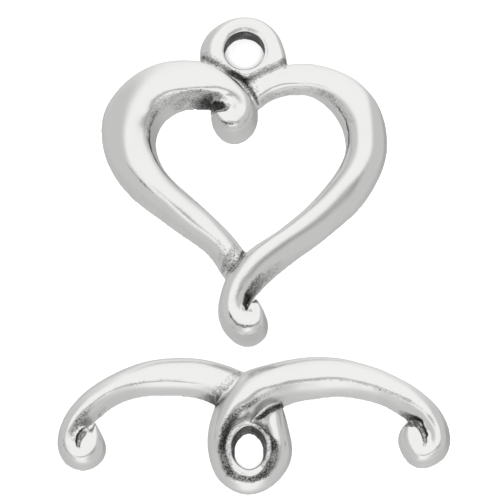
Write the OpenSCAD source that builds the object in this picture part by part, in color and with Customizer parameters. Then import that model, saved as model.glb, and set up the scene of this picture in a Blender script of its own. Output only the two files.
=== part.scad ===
// Heart toggle clasp for a necklace or bracelet: two loose castings lying face up.
// The ring is a heart of two scroll strokes with a round bail on top.
// The bar has two scroll-ended arms and an eye below the place where its strand crosses itself.
// X runs across, Y runs up the heart to the bail, Z is the face side. Millimetres.

/* [Heart ring] */
// Width of the heart across both lobes
heart_w = 18; // [16:0.5:22]
// Radius of the hole in the bail
bail_hole_r = 1.25; // [0.9:0.05:1.4]
// Outer radius of the bail
bail_r = 2.6; // [2.3:0.1:3]
// Thickness of the bail
bail_h = 1.6; // [1.3:0.05:1.9]
// Thickness of the web that joins the bail to both strokes
web_h = 1.05; // [0.7:0.05:1.3]

/* [Toggle bar] */
// Length of the bar from scroll to scroll
bar_w = 24.4; // [22:0.2:28]

/* [Both castings] */
// How far the heart lies above the crossing of the bar
apart = 1.6; // [1.2:0.1:4]
// Slope of the side walls, as inset for each millimetre of wall height
draft = 0.24; // [0.1:0.02:0.28]
// Fullness of the rounded face, 2 is a plain ellipse
fullness = 2.2; // [2:0.1:2.6]

/* [Hidden] */
// Sections made for each row of a table
steps = 3;
// Points on each rounded half of a section
arc_points = 4;
// Largest share of a section's width that one sloped wall may take
wall_share = 0.3;
// Width of the heart as the tables draw it, and how much the wanted heart is larger
heart_table_w = 18;
grow = heart_w / heart_table_w;
// Centre of the bail hole and of the bail, in the frame of the heart
bail_hole_at = [0, 19.1];
bail_at = [-0.2, 18.85];
// Lower point of the bail, between the strokes, and how far an inset lifts it
bail_foot = [0.05, 17.05];
foot_lift = 1.3;
// How far the round part of the bail runs on below its middle, in degrees
bail_drop = 6;
// Sides on the round part of the bail outline
bail_sides = 24;
// Width of the small bevel at the top of the hole
bevel = 0.15;
// Sides of the hole, and how far its cutters run past the faces
hole_sides = 64;
past = 1;
// Rows where a stroke is parted, so that its scroll end may touch the stroke itself
left_stroke_parts = [24];
right_stroke_parts = [30];
left_arm_parts = [9];
right_arm_parts = [30];
// Middle of the whole clasp in the frame of the bar
middle = [0.25, 15.52];
// Foot of the heart in the frame of the bar, for a heart that touches the crossing
heart_at = [-0.35, 7.95];

// Columns of the stroke tables:
// inner foot x, inner foot y, outer foot x, outer foot y,
// inner wall height, outer wall height, crown height, place of the crown from inner 0 to outer 1

// Left stroke, from under the crossing at the point of the heart to the scroll at the top
left_stroke = [
    [ 0.50,  5.85, -0.55,  3.95, 0.6, 0.6, 1.1, 0.50],
    [ 0.00,  6.30, -1.25,  4.45, 0.7, 0.6, 1.4, 0.45],
    [-0.55,  7.10, -1.95,  5.65, 0.9, 0.7, 1.7, 0.40],
    [-1.15,  7.75, -2.85,  6.55, 1.1, 0.7, 2.0, 0.35],
    [-1.90,  8.55, -3.70,  7.15, 1.2, 0.7, 2.1, 0.33],
    [-2.75,  9.35, -4.70,  7.90, 1.3, 0.7, 2.2, 0.32],
    [-3.55, 10.10, -5.65,  8.65, 1.3, 0.7, 2.2, 0.33],
    [-4.30, 10.80, -6.75,  9.50, 1.4, 0.7, 2.3, 0.35],
    [-4.90, 11.50, -7.70, 10.55, 1.5, 0.7, 2.4, 0.36],
    [-5.30, 12.25, -8.40, 11.65, 1.6, 0.8, 2.4, 0.38],
    [-5.50, 13.00, -8.85, 12.90, 1.6, 0.8, 2.5, 0.40],
    [-5.50, 13.65, -9.00, 14.20, 1.6, 0.8, 2.5, 0.40],
    [-5.30, 14.30, -8.90, 15.20, 1.6, 0.8, 2.5, 0.38],
    [-5.00, 14.80, -8.55, 16.10, 1.6, 0.8, 2.5, 0.36],
    [-4.55, 15.20, -7.85, 17.10, 1.7, 0.9, 2.5, 0.34],
    [-4.00, 15.50, -6.80, 17.95, 1.9, 0.9, 2.5, 0.32],
    [-3.40, 15.65, -5.45, 18.55, 2.1, 1.0, 2.5, 0.32],
    [-2.85, 15.65, -4.05, 18.75, 2.1, 1.0, 2.5, 0.34],
    [-2.35, 15.62, -2.45, 18.60, 2.0, 1.1, 2.5, 0.38],
    [-1.95, 15.64, -1.15, 17.95, 1.8, 1.2, 2.4, 0.44],
    [-1.65, 15.64,  0.00, 16.95, 1.5, 1.3, 2.4, 0.48],
    [-1.52, 15.58,  0.75, 15.90, 1.4, 1.4, 2.3, 0.50],
    [-1.44, 15.48,  0.85, 15.00, 1.3, 1.4, 2.3, 0.52],
    [-1.38, 15.38,  0.65, 14.20, 1.3, 1.4, 2.3, 0.55],
    [-1.31, 15.28,  0.05, 13.55, 1.2, 1.4, 2.3, 0.58],
    [-1.37, 15.37, -0.75, 13.35, 1.2, 1.4, 2.2, 0.60],
    [-1.40, 15.47, -1.50, 13.70, 1.2, 1.4, 2.2, 0.60],
    [-1.42, 15.57, -2.00, 14.45, 1.1, 1.4, 2.1, 0.55],
    [-1.48, 15.70, -2.10, 15.20, 1.0, 1.2, 1.8, 0.50],
    [-1.65, 15.78, -1.98, 15.62, 0.9, 0.9, 1.3, 0.50],
];

// Right stroke, from beside the top scroll to the scroll at the point of the heart
right_stroke = [
    [ 0.35, 15.30, 0.15, 17.35, 0.6, 0.8, 1.05, 0.50],
    [ 1.00, 15.70, 0.70, 17.60, 0.7, 0.8, 1.15, 0.40],
    [ 1.60, 16.20, 1.60, 18.10, 0.8, 0.8, 1.25, 0.30],
    [ 2.30, 16.45, 2.45, 18.50, 0.8, 0.8, 1.30, 0.25],
    [ 2.90, 16.60, 3.35, 18.65, 0.8, 0.7, 1.30, 0.22],
    [ 3.55, 16.60, 4.40, 18.60, 0.8, 0.7, 1.35, 0.22],
    [ 4.15, 16.50, 5.40, 18.35, 0.7, 0.7, 1.45, 0.26],
    [ 4.70, 16.20, 6.35, 17.95, 0.6, 0.7, 1.60, 0.34],
    [ 5.20, 15.80, 7.20, 17.45, 0.6, 0.7, 1.75, 0.40],
    [ 5.60, 15.30, 7.85, 16.80, 0.6, 0.7, 1.85, 0.44],
    [ 5.95, 14.70, 8.40, 16.00, 0.7, 0.8, 1.90, 0.46],
    [ 6.20, 14.10, 8.80, 14.95, 0.8, 0.8, 1.90, 0.47],
    [ 6.30, 13.45, 8.95, 13.90, 0.8, 0.8, 1.90, 0.47],
    [ 6.30, 12.80, 8.95, 12.85, 0.8, 0.8, 1.90, 0.46],
    [ 6.05, 12.10, 8.75, 11.90, 0.8, 0.8, 1.90, 0.43],
    [ 5.65, 11.35, 8.35, 10.90, 0.9, 0.8, 1.90, 0.38],
    [ 5.10, 10.60, 7.80,  9.90, 1.0, 0.8, 1.90, 0.35],
    [ 4.40,  9.75, 7.10,  8.95, 1.1, 0.8, 1.90, 0.33],
    [ 3.65,  8.95, 6.20,  8.10, 1.1, 0.8, 1.90, 0.32],
    [ 2.80,  8.20, 5.20,  7.20, 1.1, 0.8, 1.90, 0.32],
    [ 1.95,  7.50, 4.20,  6.40, 1.1, 0.8, 1.90, 0.32],
    [ 1.10,  6.90, 3.25,  5.70, 1.2, 0.9, 2.00, 0.34],
    [ 0.35,  6.40, 2.35,  4.95, 1.2, 0.9, 2.10, 0.38],
    [-0.30,  5.80, 1.55,  4.25, 1.3, 0.9, 2.20, 0.42],
    [-0.85,  5.05, 0.85,  3.45, 1.3, 0.9, 2.20, 0.45],
    [-1.25,  4.35, 0.48,  3.02, 1.2, 0.9, 2.20, 0.48],
    [-1.50,  3.55, 0.36,  2.80, 1.2, 0.9, 2.10, 0.50],
    [-1.65,  2.70, 0.31,  2.64, 1.2, 0.9, 2.10, 0.50],
    [-1.60,  1.80, 0.28,  2.52, 1.2, 0.9, 2.10, 0.48],
    [-1.25,  0.95, 0.25,  2.43, 1.2, 0.9, 2.10, 0.46],
    [-0.60,  0.30, 0.22,  2.36, 1.2, 0.9, 2.00, 0.44],
    [ 0.15,  0.00, 0.23,  2.38, 1.2, 0.9, 2.00, 0.44],
    [ 0.80,  0.20, 0.24,  2.44, 1.2, 0.9, 2.00, 0.46],
    [ 1.30,  0.60, 0.24,  2.54, 1.1, 0.9, 1.90, 0.50],
    [ 1.50,  1.30, 0.24,  2.66, 1.1, 0.9, 1.90, 0.50],
    [ 1.40,  1.90, 0.30,  2.80, 1.0, 0.9, 1.80, 0.50],
    [ 1.12,  2.42, 0.45,  2.92, 1.0, 0.9, 1.60, 0.50],
    [ 0.85,  2.85, 0.60,  3.02, 0.9, 0.8, 1.20, 0.50],
];

// Left arm of the bar, from its scroll under the crossing to the right side of the eye
left_arm = [
    [ -9.75, 4.72,  -9.58, 4.62, 0.5, 0.5, 0.8, 0.50],
    [ -9.85, 4.62,  -9.35, 4.25, 0.6, 0.6, 1.2, 0.50],
    [-10.05, 4.48,  -9.12, 3.75, 0.6, 0.6, 1.4, 0.55],
    [-10.25, 4.28,  -8.92, 3.20, 0.6, 0.7, 1.5, 0.60],
    [-10.42, 4.05,  -8.95, 2.55, 0.6, 0.7, 1.5, 0.64],
    [-10.52, 3.82,  -9.30, 2.00, 0.6, 0.7, 1.5, 0.68],
    [-10.58, 3.62,  -9.85, 1.65, 0.6, 0.7, 1.5, 0.70],
    [-10.62, 3.48, -10.45, 1.55, 0.6, 0.7, 1.5, 0.68],
    [-10.66, 3.39, -11.10, 1.75, 0.6, 0.7, 1.5, 0.64],
    [-10.68, 3.40, -11.60, 2.20, 0.6, 0.7, 1.5, 0.58],
    [-10.68, 3.48, -11.90, 2.85, 0.6, 0.6, 1.5, 0.54],
    [-10.58, 3.64, -11.95, 3.60, 0.6, 0.6, 1.5, 0.50],
    [-10.42, 3.92, -11.80, 4.40, 0.6, 0.6, 1.5, 0.48],
    [-10.12, 4.25, -11.40, 5.30, 0.6, 0.6, 1.5, 0.46],
    [ -9.60, 4.65, -10.80, 6.10, 0.7, 0.6, 1.6, 0.42],
    [ -9.05, 5.20, -10.10, 6.80, 0.7, 0.6, 1.6, 0.36],
    [ -8.50, 5.65,  -9.25, 7.40, 0.7, 0.6, 1.7, 0.30],
    [ -7.70, 6.05,  -8.30, 7.95, 0.7, 0.6, 1.7, 0.28],
    [ -6.75, 6.30,  -7.25, 8.40, 0.7, 0.6, 1.7, 0.26],
    [ -5.75, 6.40,  -6.15, 8.70, 0.7, 0.6, 1.7, 0.26],
    [ -4.75, 6.40,  -4.95, 8.85, 0.7, 0.6, 1.7, 0.26],
    [ -3.75, 6.30,  -3.75, 8.85, 0.7, 0.6, 1.7, 0.26],
    [ -2.85, 6.10,  -2.65, 8.70, 0.7, 0.6, 1.7, 0.28],
    [ -2.15, 5.75,  -1.50, 8.40, 0.7, 0.6, 1.7, 0.32],
    [ -1.25, 5.35,  -0.45, 7.95, 0.7, 0.6, 1.6, 0.38],
    [ -0.45, 4.90,   0.60, 7.30, 0.7, 0.6, 1.6, 0.44],
    [  0.25, 4.45,   1.55, 6.40, 0.7, 0.6, 1.6, 0.48],
    [  0.60, 3.95,   2.10, 5.50, 0.7, 0.6, 1.6, 0.48],
    [  0.80, 3.35,   2.40, 4.30, 0.7, 0.6, 1.5, 0.46],
    [  0.85, 2.80,   2.65, 3.10, 0.7, 0.6, 1.4, 0.44],
];

// Strand round the lower side of the eye, over the left arm and along the right arm to its scroll
right_arm = [
    [ 0.85, 2.80,  2.65, 3.10, 0.7, 0.6, 1.4, 0.44],
    [ 0.75, 2.30,  2.50, 2.10, 0.7, 0.5, 1.2, 0.44],
    [ 0.55, 1.85,  2.05, 1.25, 0.7, 0.5, 1.1, 0.42],
    [ 0.30, 1.55,  1.25, 0.45, 0.6, 0.5, 1.0, 0.42],
    [-0.05, 1.45,  0.10, 0.00, 0.6, 0.5, 0.9, 0.42],
    [-0.40, 1.55, -0.95, 0.20, 0.6, 0.5, 0.9, 0.42],
    [-0.75, 1.85, -1.90, 0.90, 0.7, 0.5, 1.0, 0.42],
    [-0.95, 2.30, -2.45, 1.95, 0.7, 0.5, 1.2, 0.44],
    [-1.05, 2.90, -2.65, 3.10, 0.7, 0.6, 1.5, 0.46],
    [-0.95, 3.40, -2.60, 4.25, 0.8, 0.6, 1.8, 0.48],
    [-0.65, 3.80, -2.35, 5.25, 0.9, 0.7, 2.1, 0.48],
    [-0.25, 4.05, -1.95, 6.20, 1.0, 0.8, 2.3, 0.46],
    [ 0.25, 4.40, -1.45, 6.95, 1.1, 1.0, 2.4, 0.44],
    [ 0.80, 5.00, -0.90, 7.60, 1.1, 1.1, 2.4, 0.42],
    [ 1.45, 5.40, -0.10, 8.05, 1.0, 1.0, 2.3, 0.40],
    [ 2.10, 5.65,  0.75, 8.30, 0.9, 0.9, 2.2, 0.38],
    [ 2.95, 6.00,  1.90, 8.60, 0.8, 0.8, 2.1, 0.36],
    [ 3.90, 6.15,  3.05, 8.80, 0.7, 0.7, 2.0, 0.34],
    [ 4.90, 6.30,  4.30, 8.90, 0.7, 0.6, 1.9, 0.32],
    [ 5.95, 6.30,  5.60, 8.80, 0.7, 0.6, 1.8, 0.32],
    [ 6.90, 6.15,  6.80, 8.50, 0.7, 0.6, 1.8, 0.32],
    [ 7.70, 5.95,  7.95, 8.15, 0.7, 0.6, 1.8, 0.32],
    [ 8.45, 5.65,  9.00, 7.65, 0.7, 0.6, 1.7, 0.34],
    [ 9.10, 5.25,  9.95, 7.15, 0.7, 0.6, 1.7, 0.38],
    [ 9.60, 4.90, 10.70, 6.60, 0.7, 0.6, 1.7, 0.42],
    [10.05, 4.60, 11.35, 6.05, 0.7, 0.6, 1.6, 0.46],
    [10.35, 4.30, 11.90, 5.35, 0.7, 0.6, 1.6, 0.48],
    [10.55, 3.95, 12.30, 4.45, 0.6, 0.6, 1.5, 0.50],
    [10.68, 3.58, 12.45, 3.55, 0.6, 0.6, 1.5, 0.52],
    [10.76, 3.40, 12.25, 2.65, 0.6, 0.6, 1.5, 0.56],
    [10.76, 3.28, 11.65, 2.05, 0.6, 0.7, 1.5, 0.62],
    [10.73, 3.25, 10.85, 1.70, 0.6, 0.7, 1.5, 0.66],
    [10.71, 3.33, 10.15, 1.80, 0.6, 0.7, 1.5, 0.66],
    [10.70, 3.50,  9.60, 2.30, 0.6, 0.7, 1.5, 0.62],
    [10.65, 3.78,  9.25, 3.00, 0.6, 0.7, 1.5, 0.56],
    [10.55, 4.08,  9.15, 3.60, 0.6, 0.6, 1.5, 0.52],
    [10.40, 4.34,  9.30, 4.15, 0.6, 0.6, 1.4, 0.50],
    [10.20, 4.56,  9.55, 4.50, 0.6, 0.6, 1.2, 0.50],
    [ 9.95, 4.75,  9.80, 4.70, 0.5, 0.5, 0.8, 0.50],
];

// Thin rim that closes the upper half of the eye, from its left side to its right side
eye_rim = [
    [-0.90, 3.90, -1.25, 4.40, 0.5, 0.5, 0.8, 0.50],
    [-0.50, 4.10, -0.70, 4.70, 0.7, 0.7, 0.9, 0.50],
    [-0.15, 4.10, -0.15, 4.80, 0.7, 0.7, 0.9, 0.50],
    [ 0.15, 4.00,  0.35, 4.75, 0.7, 0.7, 0.9, 0.50],
    [ 0.50, 3.80,  0.85, 4.40, 0.7, 0.7, 0.9, 0.50],
    [ 0.85, 3.50,  1.30, 3.90, 0.7, 0.7, 0.9, 0.50],
    [ 1.15, 3.00,  1.60, 3.30, 0.5, 0.5, 0.8, 0.50],
];

// Columns of the bail table: inset from the outline, share of the thickness
bail_edge = [
    [0.00, 0.00],
    [0.08, 0.50],
    [0.15, 0.74],
    [0.27, 0.90],
    [0.42, 0.97],
    [0.65, 1.00],
];

// Corners of the web below the bail, in the frame of the heart
web_outline = [
    [-2.70, 18.20],
    [-2.30, 19.10],
    [ 2.20, 19.50],
    [ 2.80, 18.75],
    [ 2.90, 18.20],
    [ 1.30, 16.60],
    [ 0.60, 15.90],
    [-0.20, 16.60],
    [-1.30, 17.60],
];

// Smooth curve through the rows b and c, with a and d as their neighbours
function blend(a, b, c, d, t) =
    0.5 * (2 * b + (c - a) * t
        + (2 * a - 5 * b + 4 * c - d) * t * t
        + (3 * b - a - 3 * c + d) * t * t * t);

// Table with further rows between its own
function smooth(rows) = concat(
    [
        for (i = [0 : len(rows) - 2])
            for (k = [0 : steps - 1])
                blend(rows[max(i - 1, 0)], rows[i], rows[i + 1],
                    rows[min(i + 2, len(rows) - 1)], k / steps)
    ],
    [rows[len(rows) - 1]]
);

// Rows of a list from one index to another
function slice(rows, first, last) = [for (i = [first : last]) rows[i]];

// Points of a rounded half from wall top to crown, each as place along the section and height
function half_arc(wall_s, wall_z, crown_s, crown_z) = [
    for (k = [0 : arc_points - 1])
        let (a = 90 * k / arc_points)
            [
                crown_s + (wall_s - crown_s) * pow(cos(a), 2 / fullness),
                wall_z + (crown_z - wall_z) * pow(sin(a), 2 / fullness)
            ]
];

// Outline of one section, from inner foot over the crown to outer foot
function outline(r) =
    let (
        width = norm([r[2] - r[0], r[3] - r[1]]),
        near = min(draft * r[4] / width, wall_share),
        far = 1 - min(draft * r[5] / width, wall_share),
        up = half_arc(near, r[4], r[7], r[6]),
        down = half_arc(far, r[5], r[7], r[6])
    )
    concat(
        [[0, 0]],
        up,
        [[r[7], r[6]]],
        [for (i = [len(down) - 1 : -1 : 0]) down[i]],
        [[1, 0]]
    );

// The same section set up on its two feet
function section(r) = [
    for (p = outline(r))
        [r[0] + (r[2] - r[0]) * p[0], r[1] + (r[3] - r[1]) * p[0], p[1]]
];

// Closed solid through rings of points, all with the same number of points
module loft(rings) {
    n = len(rings[0]);
    last = len(rings) - 1;
    sides = [
        for (i = [0 : last - 1])
            for (k = [0 : n - 1])
                let (
                    a = i * n + k,
                    b = i * n + (k + 1) % n,
                    c = (i + 1) * n + (k + 1) % n,
                    d = (i + 1) * n + k
                )
                each [[a, b, c], [a, c, d]]
    ];
    start = [for (k = [n - 1 : -1 : 0]) k];
    end = [for (k = [0 : n - 1]) last * n + k];
    polyhedron([for (ring = rings) each ring], concat([start], sides, [end]));
}

// Stroke made of solids that share the sections at the parting rows
module stroke(rows, parts) {
    all = smooth(rows);
    marks = concat([0], [for (p = parts) p * steps], [len(all) - 1]);
    for (i = [0 : len(marks) - 2])
        loft([for (r = slice(all, marks[i], marks[i + 1])) section(r)]);
}

// Outline of the bail at one inset: an arc from left to right over the top, and a point below
function bail_ring(inset, z) =
    let (r = bail_r - inset)
    concat(
        [
            for (k = [0 : bail_sides])
                let (a = 180 + bail_drop - (180 + 2 * bail_drop) * k / bail_sides)
                    [bail_at[0] + r * cos(a), bail_at[1] + r * sin(a), z]
        ],
        [[bail_foot[0], bail_foot[1] + foot_lift * inset, z]]
    );

// Plate of the bail with its rounded edge
module bail_plate() {
    loft([for (e = bail_edge) bail_ring(e[0], e[1] * bail_h)]);
}

// Heart with its bail still closed, as one solid of the wanted width
module heart_casting() {
    resize([heart_w, 0, 0], auto = [true, true, false])
        union() {
            stroke(left_stroke, left_stroke_parts);
            stroke(right_stroke, right_stroke_parts);
            bail_plate();
            linear_extrude(web_h) polygon(web_outline);
        }
}

// Heart ring with the hole through its bail
module heart_ring() {
    color("silver")
        translate([heart_at[0] - middle[0], heart_at[1] + apart - middle[1], 0])
            difference() {
                heart_casting();
                translate([bail_hole_at[0] * grow, bail_hole_at[1] * grow, -past])
                    cylinder(h = bail_h + 2 * past, r = bail_hole_r, $fn = hole_sides);
                translate([bail_hole_at[0] * grow, bail_hole_at[1] * grow, bail_h - bevel])
                    cylinder(h = past, r1 = bail_hole_r, r2 = bail_hole_r + past, $fn = hole_sides);
            }
}

// Toggle bar with its eye
module toggle_bar() {
    color("silver")
        translate([-middle[0], -middle[1], 0])
            resize([bar_w, 0, 0], auto = [true, true, false])
                union() {
                    stroke(left_arm, left_arm_parts);
                    stroke(right_arm, right_arm_parts);
                    stroke(eye_rim, []);
                }
}

heart_ring();
toggle_bar();
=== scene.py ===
import bpy
import numpy as np
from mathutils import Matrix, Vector


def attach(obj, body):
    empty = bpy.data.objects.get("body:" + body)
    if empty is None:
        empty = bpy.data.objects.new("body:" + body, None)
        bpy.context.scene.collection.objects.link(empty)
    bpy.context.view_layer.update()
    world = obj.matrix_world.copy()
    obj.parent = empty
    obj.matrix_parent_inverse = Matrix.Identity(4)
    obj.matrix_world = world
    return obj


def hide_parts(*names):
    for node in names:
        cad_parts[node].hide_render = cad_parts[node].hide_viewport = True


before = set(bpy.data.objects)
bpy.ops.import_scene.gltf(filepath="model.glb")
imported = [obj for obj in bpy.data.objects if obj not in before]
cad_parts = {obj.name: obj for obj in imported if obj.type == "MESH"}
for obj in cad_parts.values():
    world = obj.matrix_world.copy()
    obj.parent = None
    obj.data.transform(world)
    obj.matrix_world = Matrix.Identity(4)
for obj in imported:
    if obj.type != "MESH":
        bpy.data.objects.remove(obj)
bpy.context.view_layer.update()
print("frame loaded")

mm = 0.001

# How both castings are made. Lengths are in millimetres
castLook = {
    "draft": 0.24,           # slope of the side walls, inset for each millimetre of height
    "draftLimit": 0.3,       # most that a wall may lean in, as a share of the strand's width
    "fullness": 2.0,         # 2 is an ellipse, more is fuller
    "edgeAngle": 22,         # degrees left out of the arc at the wall, which leaves a crisp edge
    "perRow": 12,            # sections made for each row of a table
    "arcPoints": 26,         # points on each half of a face
    "voxel": 0.06,           # distance between the points of the skin
    "underside": 0.4,        # skin below this share of a voxel is the flat underside
    "fillet": 3,             # rounds of smoothing, which fill the corners as casting does
    "finish": 1,             # and once more after the creases are cut
    "meltRounds": 40,        # rounds of smoothing in the melted places
    "meltCore": 0.6,         # share of their radius that is melted in full
    "meltAbove": 0.6,        # height below which nothing melts
    "creaseCore": 0.1,       # share of a crease's half width that is cut in full
    "creaseFloor": 0.35,     # height below which no crease cuts
    "wave": 0.012,           # height of the slight unevenness
    "waveLength": 3.1,
    "waveStep": 0.15,        # how much shorter each wave is than the one before, as a share
    "waveShift": 1.7,        # how far apart the waves start, in radians
    "hollowRounds": 30,      # how far round a point the skin is looked at for hollows
    "hollowEvening": 6,      # rounds that even the hollows out
    "hollowDepth": 0.05,     # distance below the surroundings that counts as a full hollow
    "wallLean": (0.55, 0.25),     # upward part of the normal where a side wall starts and is full
    "wallFoot": 0.02,             # height where the walls start
    "darkLineCore": 0.25,          # share of its reach where a line of tarnish, painted reflection or painted shade is dark in full
    "holeEdge": (1.05, 0.97),     # shares of a hole's size where its dark wall starts and is full
    "holeLean": (0.75, 0.5),      # the same by the upward part of the normal
    "triangles": 188000,
}


def splineRows(rows, perRow):
    # Cubic B-spline whose control rows are the table's rows, pushed out by a sixth of
    # their second difference, so the curve passes very near each row and stays even
    bend = np.zeros_like(rows)
    bend[1:-1] = rows[:-2] - 2 * rows[1:-1] + rows[2:]
    knots = rows - bend / 6
    knots = np.vstack([2 * knots[0] - knots[1], knots, 2 * knots[-1] - knots[-2]])
    t = np.linspace(0, 1, perRow, endpoint=False)[None, :, None]
    a, b, c, d = (knots[i : len(knots) - 3 + i, None, :] for i in range(4))
    curve = ((1 - t) ** 3 * a + (3 * t**3 - 6 * t**2 + 4) * b
             + (-3 * t**3 + 3 * t**2 + 3 * t + 1) * c + t**3 * d) / 6
    return np.vstack([curve.reshape(-1, rows.shape[1]), rows[-1:]])


def faceArc(look):
    # Half of a face from wall to crown: share of the way in from the wall, and share of
    # the rise, both from a superellipse that starts a few degrees up
    angle = np.radians(np.linspace(look["edgeAngle"], 90, look["arcPoints"]))
    power = 2 / look["fullness"]
    across = (np.cos(angle).clip(0) / np.cos(angle[0])) ** power
    rise = np.sin(angle) ** power
    rise = (rise - rise[0]) / (1 - rise[0])
    return 1 - across, rise


def strandGrid(rows, look):
    # Each row gives one upright section: from the inner foot up the wall, over the crown
    # and down to the outer foot, all as shares s of the way between the two feet
    wayIn, rise = faceArc(look)
    columns = splineRows(rows, look["perRow"]).T[:, :, None]
    innerX, innerY, outerX, outerY, innerWall, outerWall, top, crown = columns
    width = np.hypot(outerX - innerX, outerY - innerY)
    near = np.minimum(look["draft"] * innerWall / width, look["draftLimit"])
    far = 1 - np.minimum(look["draft"] * outerWall / width, look["draftLimit"])
    innerS, innerZ = near + (crown - near) * wayIn, innerWall + (top - innerWall) * rise
    outerS, outerZ = far + (crown - far) * wayIn, outerWall + (top - outerWall) * rise
    zero, one = np.zeros_like(crown), np.ones_like(crown)
    s = np.hstack([zero, innerS, outerS[:, -2::-1], one])
    z = np.hstack([zero, innerZ, outerZ[:, -2::-1], zero])
    return np.dstack([innerX + (outerX - innerX) * s, innerY + (outerY - innerY) * s, z])


def gridShell(grid, closed=False):
    # Points and faces of a grid that is closed round its columns. Its two ends are
    # capped, or joined to each other where the rows also run round
    rows, cols = grid.shape[:2]
    index = np.arange(rows * cols).reshape(rows, cols)
    nextCol = np.roll(index, -1, axis=1)
    low, high = (index, np.roll(index, -1, axis=0)) if closed else (index[:-1], index[1:])
    lowNext, highNext = (nextCol, np.roll(nextCol, -1, axis=0)) if closed else (nextCol[:-1], nextCol[1:])
    faces = np.dstack([low, lowNext, highNext, high]).reshape(-1, 4).tolist()
    if not closed:
        faces += [index[0, ::-1].tolist(), index[-1].tolist()]
    return grid.reshape(-1, 3), faces


def partedShells(rows, parts):
    # A strand parted at some of its rows, so that it may touch or cross itself
    grid = strandGrid(rows, castLook)
    cuts = [0] + [row * castLook["perRow"] for row in parts] + [len(grid) - 1]
    return [gridShell(grid[a : b + 1]) for a, b in zip(cuts[:-1], cuts[1:])]


def evened(values, count):
    # Running mean with a smooth window along a line that closes on itself
    window = np.hanning(count + 2)[1:-1]
    half = count // 2
    return np.convolve(np.r_[values[-half:], values, values[:half]], window / window.sum(), "valid")


def roundTable(table, look):
    # Columns of a table of angles, read off all the way round at even steps and smoothed
    turns = np.radians(np.linspace(0, 360, look["sections"], endpoint=False))
    angle = np.radians(table[:, 0])
    columns = [np.interp(turns, angle, column, period=2 * np.pi) for column in table[:, 1:].T]
    return turns[:, None], [evened(column, look["evening"])[:, None] for column in columns]


def turnedShell(centre, turns, radius, height):
    # Sections turned round an upright line through the centre, joined into a closed ring
    x = centre[0] + radius * np.cos(turns)
    y = centre[1] + radius * np.sin(turns)
    return gridShell(np.dstack([x, y, height])[:, ::-1], closed=True)


def ringShell(table, look):
    # Bead round a hole: for each angle an upright section, from the outer foot over a
    # round crown to the sloped wall of the hole
    turns, (foot, slope, width, height) = roundTable(table, look)
    arc = np.linspace(0, np.pi, look["arcPoints"])[None]
    half = (width - slope) / 2
    dome = look["shoulder"] + (1 - look["shoulder"]) * np.sin(arc) ** look["roundness"]
    radius = np.hstack([foot + width, foot + slope + half + half * np.cos(arc), foot])
    return turnedShell(look["centre"], turns, radius, np.hstack([0 * foot, height * dome, 0 * foot]))


def bailShell(table, look):
    # Ring round the hole: for each angle the section runs from the outer foot up over a
    # quarter of a superellipse to the crown, then down over a small round bevel to the hole
    turns, (outer, soft) = roundTable(table, look)
    hole, crown, rim, bevel, power, skip = (
        look[key] for key in ("holeRadius", "crown", "rim", "bevel", "roundness", "bevelSkip"))
    arc = np.radians(np.linspace(0, 90, look["arcPoints"]))[None]
    flat = np.linspace(0, 1, look["flatPoints"])[None, 1:-1]
    lip = hole + bevel
    flankR, flankZ = outer - soft * (1 - np.cos(arc) ** power), crown * np.sin(arc) ** power
    innerR = lip + (outer - soft - lip) * (1 - flat)
    innerZ = rim + (crown - rim) * np.cos(flat * np.pi / 2)
    bevelR = hole + bevel * np.cos(arc[:, ::skip])
    bevelZ = rim - bevel + bevel * np.cos(arc[:, ::-skip])
    zero = 0 * outer
    radius = np.hstack([flankR, innerR, bevelR + zero, hole + zero])
    height = np.hstack([flankZ + zero, innerZ + zero, bevelZ + zero, zero])
    return turnedShell(look["centre"], turns, radius, height)


def webShell(outline, height):
    # Flat plate: the outline at the foot and at the web's height
    n = len(outline)
    ring = np.arange(n)
    after = np.roll(ring, -1)
    points = np.column_stack([np.tile(outline, (2, 1)), np.repeat([0, height], n)])
    faces = np.column_stack([after, ring, ring + n, after + n]).tolist()
    return points, faces + [ring.tolist(), (ring[::-1] + n).tolist()]


# Side of a plug from its foot to its top: share of its radius, share of its height
plugProfile = np.array([(1.0, 0), (0.9, 0.85), (0.8, 0.94), (0.6, 0.98), (0.3, 1.0)])
plugSides = 32


def plugShell(x, y, radius, height):
    # Low round peg with a slightly domed top: the profile turned round its middle
    turns = np.linspace(0, 2 * np.pi, plugSides, endpoint=False)[None]
    across, z = plugProfile[:, :1] * radius, plugProfile[:, 1:] * height
    return gridShell(np.dstack([x + across * np.cos(turns), y + across * np.sin(turns), z + 0 * turns]))


def evaluated(obj):
    # New mesh with the object's modifiers applied
    deps = bpy.context.evaluated_depsgraph_get()
    return bpy.data.meshes.new_from_object(obj.evaluated_get(deps))


def addObject(name, data):
    # New object at the origin, unturned and unscaled
    obj = bpy.data.objects.new(name, data)
    bpy.context.scene.collection.objects.link(obj)
    return obj


def readArray(items, field, columns, kind=np.float32):
    # One field of all points or edges of a mesh, a row for each
    flat = np.empty(len(items) * columns, dtype=kind)
    items.foreach_get(field, flat)
    return flat.reshape(-1, columns)


def meshPoints(mesh):
    # Places of all points, a row for each
    return readArray(mesh.vertices, "co", 3).astype(float)


def pointNormals(mesh):
    # Outward direction at each point
    return readArray(mesh.vertex_normals, "vector", 3).astype(float)


def setPoints(mesh, points):
    # Moves all points to the places given
    mesh.vertices.foreach_set("co", points.astype(np.float32).ravel())
    mesh.update()


def spread(values, edges, rounds, share=0.5):
    # Each value moves by a share of the way to the mean of its neighbours, several times
    values = values.reshape(len(values), -1).astype(float)
    a, b = edges[:, 0], edges[:, 1]
    count = np.bincount(np.r_[a, b], minlength=len(values)).clip(1)
    for _ in range(rounds):
        for k in range(values.shape[1]):
            column = values[:, k]
            total = np.bincount(np.r_[a, b], weights=np.r_[column[b], column[a]], minlength=len(values))
            values[:, k] = column + share * (total / count - column)
    return values


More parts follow.
